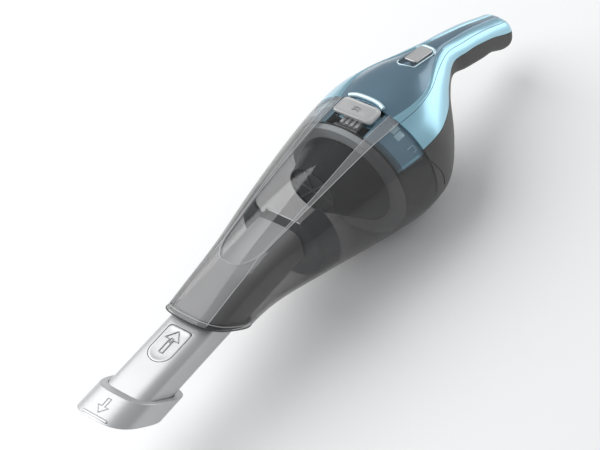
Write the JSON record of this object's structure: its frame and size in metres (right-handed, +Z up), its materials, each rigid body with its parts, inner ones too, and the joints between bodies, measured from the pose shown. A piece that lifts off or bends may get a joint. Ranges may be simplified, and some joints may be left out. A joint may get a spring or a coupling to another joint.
{
  "type": "handheld vacuum",
  "caption": "Cordless hand vacuum with a pull-out crevice tool, see-through dust bowl, latched motor housing and a down-swept grip.",
  "frame": {"origin": "middle of the flat belly under the dust bowl and motor housing, where it rests on a table", "axes": "+X towards the end of the handle, so the nozzle points along -X; +Z up; -Y is the left side seen from behind the nozzle in the picture"},
  "size_m": [0.5611, 0.13, 0.1241],
  "materials": {
    "silver_plastic": "satin silver moulding",
    "smoke_plastic": "smoke-tinted see-through moulding",
    "clear_plastic": "clear see-through moulding",
    "blue_plastic": "metallic slate blue moulding",
    "light_blue_plastic": "pearl light blue moulding",
    "charcoal_plastic": "fine matt moulding",
    "soft_grip": "soft-touch over-moulding",
    "grey_plastic": "plain moulding",
    "dark_plastic": "plain moulding",
    "filter_cloth": "pleated filter cloth",
    "rubber": "soft rubber",
    "steel": "plain steel",
    "cell": "cell in a shrink sleeve",
    "circuit_board": "solder-masked board"
  },
  "bodies": {
    "housing": {"coupling_ring": "blue_plastic", "inlet_plate": "dark_plastic", "fan_shroud": "dark_plastic", "motor_can": "steel", "motor_mount": "dark_plastic", "battery_cell_1": "cell", "battery_cell_2": "cell", "battery_cell_3": "cell", "battery_cap_left": "dark_plastic", "battery_cap_right": "dark_plastic", "control_board": "circuit_board", "top_cover": "blue_plastic", "side_cover_left": "light_blue_plastic", "side_cover_right": "light_blue_plastic", "lower_housing": "charcoal_plastic", "handle_grip": "soft_grip", "handle_end_cap": "charcoal_plastic", "charge_socket": "dark_plastic", "vent_left": "charcoal_plastic", "vent_right": "charcoal_plastic", "screw_1": "steel", "screw_2": "steel", "screw_3": "steel", "screw_4": "steel", "latch_tray": "blue_plastic", "switch_body": "dark_plastic", "release_spring": "steel"},
    "dust_bowl": {"dust_bowl": "smoke_plastic", "bowl_window": "clear_plastic", "mouth_bezel": "dark_plastic", "intake_duct": "dark_plastic", "duct_cradle": "grey_plastic", "duct_support": "grey_plastic", "flap_pin": "steel", "filter_ring": "grey_plastic", "filter_seal": "rubber", "filter_cup": "smoke_plastic", "filter_screen": "steel", "pleated_filter": "filter_cloth", "bowl_catch": "dark_plastic"},
    "nozzle": {"crevice_tool": "silver_plastic", "nozzle_collar": "silver_plastic"},
    "nozzle_button": {"nozzle_button": "silver_plastic"},
    "intake_flap": {"intake_flap": "rubber"},
    "release_button": {"release_button": "silver_plastic", "latch_hook": "silver_plastic"},
    "power_switch": {"power_switch": "silver_plastic"},
    "impeller": {"impeller": "dark_plastic", "motor_shaft": "steel"}
  },
  "joints": [
    {"name": "bowl_slide", "type": "slide", "parent": "housing", "child": "dust_bowl", "axis": [-1, 0, 0], "range_m": [0, 0.1]},
    {"name": "nozzle_slide", "type": "slide", "parent": "dust_bowl", "child": "nozzle", "axis": [1, 0, 0], "range_m": [0, 0.08]},
    {"name": "nozzle_button_press", "type": "slide", "parent": "nozzle", "child": "nozzle_button", "axis": [0, 0, -1], "range_m": [0, 0.0015], "stiffness_N_per_m": 600, "springref_m": -0.001},
    {"name": "flap_hinge", "type": "hinge", "parent": "dust_bowl", "child": "intake_flap", "pos_m": [-0.1284, 0, 0.0936], "axis": [0, -1, 0], "range_deg": [0, 60]},
    {"name": "release_press", "type": "slide", "parent": "housing", "child": "release_button", "axis": [0, 0, -1], "range_m": [0, 0.003], "stiffness_N_per_m": 800, "springref_m": -0.002, "deforming": ["release_spring"]},
    {"name": "switch_slide", "type": "slide", "parent": "housing", "child": "power_switch", "axis": [-0.9647, 0, 0.2632], "range_m": [0, 0.006]},
    {"name": "fan_spin", "type": "hinge", "parent": "housing", "child": "impeller", "pos_m": [-0.015, 0, 0.072], "axis": [1, 0, 0], "continuous": true}
  ]
}
